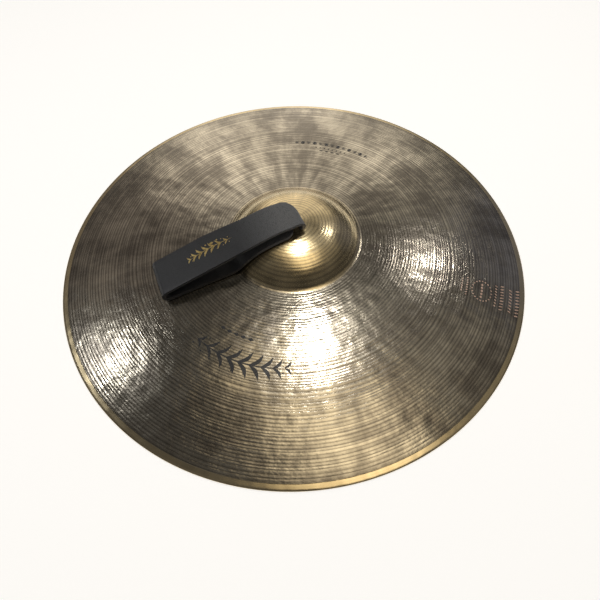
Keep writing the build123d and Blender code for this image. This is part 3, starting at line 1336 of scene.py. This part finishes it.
@dataclass
class StrapFoil:
    """Gold ornament pressed into the strap's upper face."""

    strap: HandStrap
    start: float = 57.5 * MM
    length: float = 46.0 * MM
    offset: float = 0.8 * MM

    def surface(self, along: float, across: float, lift: float) -> Vector:
        """Point of the ornament on the leather."""
        return self.strap.on_top(self.start + self.length / 2 + along, across + self.offset, lift)

    def build(self) -> bpy.types.Object:
        """Make the foil and let it ride with the handle."""
        shapes = branch(self.length * 0.92, 7, 9.0 * MM, 2.1 * MM, sag=1.6 * MM)
        shapes.append(lozenge((-2.5 * MM, 5.6 * MM), 4.6 * MM, 2.6 * MM))
        shapes.append(dot((3.0 * MM, 6.6 * MM), 1.5 * MM))
        shapes.append(dot((-8.0 * MM, 6.2 * MM), 1.5 * MM))
        foil = Marking("foil_branch", shapes, self.surface, Body.HANDLE, Slot.LEATHER, lift=0.02 * MM)
        return foil.build(GOLD_FOIL.build())


# ------------------------------------------------------------------ studio
def toward(elevation: float, azimuth: float) -> Vector:
    """Unit vector towards a place in the room, from two angles in degrees."""
    flat = cos(radians(elevation))
    return Vector((flat * cos(radians(azimuth)), flat * sin(radians(azimuth)), sin(radians(elevation))))


@dataclass(frozen=True)
class SoftLight:
    """One rectangular soft light that looks at the plate's middle."""

    name: str
    elevation: float
    azimuth: float
    distance: float
    size: Point
    power: float
    colour: Colour = (1.0, 0.98, 0.95)

    def build(self) -> None:
        """Add the light."""
        away = toward(self.elevation, self.azimuth)
        bpy.ops.object.light_add(type="AREA", location=away * self.distance)
        lamp = bpy.context.object
        lamp.name = self.name
        lamp.data.shape = "RECTANGLE"
        lamp.data.size, lamp.data.size_y = self.size
        lamp.data.energy = self.power
        lamp.data.color = self.colour
        lamp.rotation_euler = away.to_track_quat("Z", "Y").to_euler()


@dataclass(frozen=True)
class Glow:
    """A broad soft patch of light in the room round the object."""

    elevation: float
    azimuth: float
    spread: float
    strength: float
    colour: Colour


LIGHTS = (
    SoftLight("main_light", 82, 38, 1.3, (0.05, 0.17), 3.6, (1.0, 0.98, 0.93)),
    SoftLight("window_light", 44, 150, 1.6, (0.15, 0.085), 1.75, (0.96, 0.98, 1.0)),
    SoftLight("side_light", 47, 21, 1.6, (0.10, 0.045), 1.1),
)
GLOWS = (
    Glow(75, -64, 20, 1.75, (1.0, 0.86, 0.62)),
    Glow(82, 120, 14, 0.8, (1.0, 0.84, 0.58)),
    Glow(72, 50, 16, 0.2, (1.0, 0.95, 0.84)),
    Glow(49, 75, 13, 0.55, (1.0, 0.95, 0.84)),
    Glow(22, 72, 30, 1.15, (1.0, 0.92, 0.80)),
    Glow(33, 44, 18, 0.5, (1.0, 0.94, 0.82)),
    Glow(34, 108, 24, 0.12, (1.0, 0.86, 0.78)),
    Glow(55, -18, 24, 0.17, (1.0, 0.93, 0.80)),
    Glow(25, 12, 24, 0.16, (0.72, 0.76, 1.0)),
    Glow(-70, 0, 75, 0.30, (1.0, 0.98, 0.95)),
)


@dataclass
class Studio:
    """Camera, floor, soft lights and a dim room."""

    turn: float = -20.5
    camera_place: tuple[float, float, float] = (0.0, -276.2 * MM, 373.7 * MM)
    aim: tuple[float, float, float] = (13.793 * MM, -58.657 * MM, 0.0)
    roll: float = -0.38
    sensor: float = 36.0
    lens: float = 27.06
    shift: float = -0.02
    dim: float = 0.055
    patch_scale: float = 3.1
    floor_size: float = 40.0
    wall: Colour = (0.86, 0.86, 0.86)

    def build(self) -> None:
        """Make everything that isn't part of the object."""
        self.camera()
        self.floor()
        for light in LIGHTS:
            light.build()
        self.room()
        bpy.context.scene.view_settings.view_transform = "Standard"

    def camera(self) -> None:
        """Camera that looks down at the plate from the front."""
        deselect_all()
        bpy.ops.object.camera_add()
        camera = bpy.context.object
        camera.name = "camera"
        spin = Matrix.Rotation(radians(self.turn), 3, "Z")
        place, aim = spin @ Vector(self.camera_place), spin @ Vector(self.aim)
        forward = (aim - place).normalized()
        level = forward.to_track_quat("-Z", "Y").to_matrix()
        camera.location = place
        camera.rotation_euler = (Matrix.Rotation(radians(self.roll), 3, forward) @ level).to_euler()
        camera.data.sensor_width = self.sensor
        camera.data.lens = self.lens
        camera.data.shift_x = self.shift
        camera.data.clip_start = 0.01
        bpy.context.scene.camera = camera

    def floor(self) -> None:
        """Wide pale floor under the rim."""
        bpy.ops.mesh.primitive_plane_add(size=self.floor_size)
        floor = bpy.context.object
        floor.name = "floor"
        dress(floor, PaleFloor().build())

    def room(self) -> None:
        """World with a dim base and a few broad glows, which the metal reflects."""
        world = bpy.data.worlds.new("room")
        bpy.context.scene.world = world
        world.use_nodes = True
        desk = NodeDesk(world.node_tree, count=3)
        background = world.node_tree.nodes["Background"]
        direction = desk.add("ShaderNodeTexCoord").outputs["Generated"]
        patches = desk.noise(direction, self.patch_scale, detail=4.0, rough=0.55)
        darkest = (self.dim * 0.5, self.dim * 0.5, self.dim * 0.5)
        lightest = (self.dim * 2, self.dim * 1.9, self.dim * 1.8)
        total = desk.colours(desk.ramp(0.3, 0.7, patches, 0.0, 1.0), [(0.0, darkest), (1.0, lightest)])
        for glow in GLOWS:
            facing = desk.add("ShaderNodeVectorMath", operation="DOT_PRODUCT")
            desk.feed(facing, 0, direction)
            desk.feed(facing, 1, toward(glow.elevation, glow.azimuth))
            share = desk.ramp(cos(radians(glow.spread)), 1.0, facing.outputs["Value"], 0.0, glow.strength)
            share = desk.math("MULTIPLY", share, desk.ramp(0.25, 0.75, patches, 0.45, 1.5))
            node = desk.add("ShaderNodeMix", data_type="RGBA", blend_type="ADD")
            desk.feed(node, 0, 1.0)
            desk.feed(node, 6, total)
            lit = desk.add("ShaderNodeVectorMath", operation="SCALE")
            desk.feed(lit, 0, glow.colour)
            desk.feed(lit, "Scale", share)
            desk.feed(node, 7, lit.outputs[0])
            total = node.outputs[2]
        seen = desk.add("ShaderNodeLightPath").outputs["Is Camera Ray"]
        desk.feed(background, "Color", desk.mix(seen, total, (*self.wall, 1.0)))
        desk.feed(background, "Strength", 1.0)


def joint_height(name: str) -> float:
    """Height of a hinge's axis, from the frame."""
    return next(joint["pos_m"][2] for joint in frame["joints"] if joint["name"] == name)


def main() -> None:
    """Build the studio and the cymbal, in order."""
    Studio().build()
    profile = PlateProfile(radius=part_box("cymbal_plate")[1].x)
    cymbal = CymbalPlate(profile)
    plate = cymbal.build(LathedBronze().build())
    leather = WaxedLeather().build()
    strap = HandStrap(profile, fold_height=joint_height("strap_fold"))
    band = strap.build(leather)
    thongs = CrownKnot(top=profile.top(profile.hole) - profile.bell_thickness).build(leather)
    marks = PlateMarks(cymbal).build()
    foil = StrapFoil(strap).build()
    for piece in (plate, band, *thongs, *marks, foil):
        log.info("%s: %d faces", piece.name, len(piece.data.polygons))


if __name__ == "__main__":
    main()
